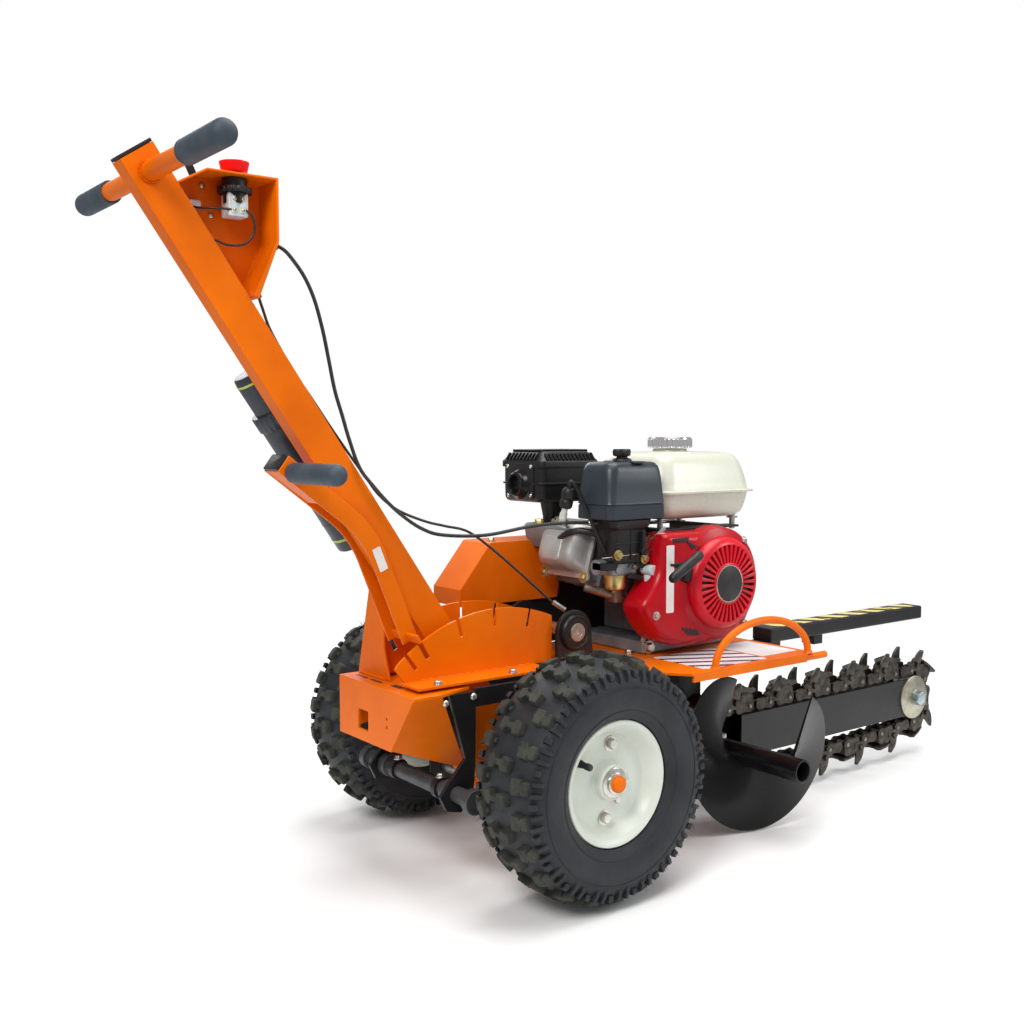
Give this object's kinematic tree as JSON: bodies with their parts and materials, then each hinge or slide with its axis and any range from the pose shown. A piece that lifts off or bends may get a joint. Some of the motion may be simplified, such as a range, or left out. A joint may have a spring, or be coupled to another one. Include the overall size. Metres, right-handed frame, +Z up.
{
  "type": "walk-behind trencher",
  "caption": "Walk-behind chain trencher with a petrol engine on a wheeled frame, tilting handlebar mast, digging chain on a boom, and a side auger.",
  "frame": {"origin": "on the ground, at the middle of the machine's length and width; the wheel axles are 0.2615 m behind it", "axes": "+X forward towards the digging boom, +Y to the machine's left, +Z up"},
  "size_m": [1.6775, 0.626, 1.037],
  "materials": {
    "orange_paint": "bright orange powder coat, semi-gloss",
    "black_paint": "semi-gloss black paint",
    "tyre_rubber": "matt blue-black tread rubber",
    "grip_rubber": "matt dark slate rubber",
    "rim_white": "gloss white paint",
    "tank_cream": "gloss cream paint",
    "cowl_red": "gloss red paint",
    "starter_red": "gloss red",
    "button_red": "gloss red",
    "steel": "machined steel",
    "zinc": "zinc-plated steel",
    "alloy": "cast aluminium, sand cast",
    "chain_steel": "oiled dark chain steel",
    "chrome": "bright chrome",
    "slate_plastic": "matt dark slate",
    "black_plastic": "matt black",
    "belt_rubber": "matt black"
  },
  "bodies": {
    "chassis": {"frame_plate_right": "black_paint", "frame_plate_left": "black_paint", "quadrant_plate_right": "orange_paint", "quadrant_plate_left": "orange_paint", "stub_axle_right": "steel", "stub_axle_left": "steel", "rear_tub": "orange_paint", "rear_upright": "orange_paint", "belly_panel": "orange_paint", "engine_deck": "orange_paint", "deck_hoop": "orange_paint", "cross_tube": "steel", "mast_pivot_pin": "zinc", "belt_cover": "orange_paint", "jackshaft_bearing_right": "black_paint", "jackshaft_bearing_left": "black_paint", "final_drive_chain": "chain_steel", "drive_belt": "belt_rubber", "boom_carrier": "black_paint", "boom_bar": "black_paint", "nose_bolt": "steel", "digging_chain": "chain_steel", "safety_bar": "black_paint", "engine_block": "alloy", "valve_cover": "alloy", "muffler": "black_paint", "muffler_guard": "black_paint", "carburettor": "zinc", "air_cleaner_elbow": "black_plastic", "air_cleaner_cover": "slate_plastic", "fan_cover": "cowl_red", "recoil_housing": "starter_red", "fuel_tank": "tank_cream"},
    "wheel_right": {"tyre_right": "tyre_rubber", "rim_right": "rim_white", "hub_cap_right": "orange_paint"},
    "wheel_left": {"tyre_left": "tyre_rubber", "rim_left": "rim_white", "hub_cap_left": "orange_paint"},
    "mast": {"mast_tube": "orange_paint", "mast_cap": "black_plastic", "handlebar_grip_right": "grip_rubber", "handlebar_grip_left": "grip_rubber", "control_box": "orange_paint", "stop_switch_body": "black_plastic", "manual_canister": "slate_plastic", "throttle_cable": "black_plastic", "clutch_cable": "black_plastic"},
    "stop_button_body": {"stop_button": "button_red"},
    "throttle_lever_body": {"throttle_lever": "black_plastic"},
    "lock_lever_body": {"lock_lever": "orange_paint", "lock_lever_grip": "grip_rubber"},
    "head_shaft_body": {"auger": "black_paint", "digging_sprocket": "steel"},
    "nose_roller_body": {"nose_roller": "steel"},
    "jackshaft_body": {"jackshaft": "steel"},
    "crankshaft_body": {"crankshaft": "steel"},
    "recoil_grip_body": {"recoil_grip": "black_plastic"},
    "fuel_cap_body": {"fuel_cap": "chrome"},
    "choke_lever_body": {"choke_lever": "black_plastic"}
  },
  "joints": [
    {"name": "wheel_right_spin", "type": "hinge", "parent": "chassis", "child": "wheel_right", "pos_m": [-0.2615, -0.245, 0.1775], "axis": [0, 1, 0], "continuous": true},
    {"name": "wheel_left_spin", "type": "hinge", "parent": "chassis", "child": "wheel_left", "pos_m": [-0.2615, 0.245, 0.1775], "axis": [0, 1, 0], "continuous": true},
    {"name": "mast_tilt", "type": "hinge", "parent": "chassis", "child": "mast", "pos_m": [-0.2825, 0, 0.118], "axis": [0, 1, 0], "range_deg": [0, 36], "deforming": ["throttle_cable", "clutch_cable"]},
    {"name": "lock_lever_lift", "type": "slide", "parent": "mast", "child": "lock_lever_body", "axis": [-0.5664, 0, 0.8241], "range_m": [-0.014, 0.006]},
    {"name": "stop_button_press", "type": "slide", "parent": "mast", "child": "stop_button_body", "axis": [0, 0, -1], "range_m": [0, 0.0035], "stiffness_N_per_m": 600},
    {"name": "throttle_lever_turn", "type": "hinge", "parent": "mast", "child": "throttle_lever_body", "pos_m": [-0.7015, 0.04, 0.965], "axis": [0, 1, 0], "range_deg": [0, 50]},
    {"name": "crankshaft_spin", "type": "hinge", "parent": "chassis", "child": "crankshaft_body", "pos_m": [0.1215, 0, 0.408], "axis": [0, 1, 0], "continuous": true},
    {"name": "jackshaft_spin", "type": "hinge", "parent": "chassis", "child": "jackshaft_body", "pos_m": [-0.1395, 0, 0.345], "axis": [0, 1, 0], "continuous": true},
    {"name": "head_shaft_spin", "type": "hinge", "parent": "chassis", "child": "head_shaft_body", "pos_m": [0.1355, 0, 0.124], "axis": [0, 1, 0], "continuous": true},
    {"name": "nose_roller_spin", "type": "hinge", "parent": "chassis", "child": "nose_roller_body", "pos_m": [0.7385, -0.08, 0.124], "axis": [0, 1, 0], "continuous": true},
    {"name": "starter_pull", "type": "slide", "parent": "chassis", "child": "recoil_grip_body", "axis": [0, -1, 0], "range_m": [0, 0.05], "stiffness_N_per_m": 80},
    {"name": "fuel_cap_turn", "type": "hinge", "parent": "chassis", "child": "fuel_cap_body", "pos_m": [0.1305, 0, 0.64], "axis": [0, 0, 1], "range_deg": [0, 90]},
    {"name": "choke_lever_turn", "type": "hinge", "parent": "chassis", "child": "choke_lever_body", "pos_m": [-0.0395, -0.112, 0.472], "axis": [0, 1, 0], "range_deg": [-25, 30]}
  ],
  "couplings": [
    {"joint": "jackshaft_spin", "follows": "crankshaft_spin", "ratio": 1.0526},
    {"joint": "head_shaft_spin", "follows": "crankshaft_spin", "ratio": 0.4632},
    {"joint": "nose_roller_spin", "follows": "crankshaft_spin", "ratio": 0.4327}
  ]
}
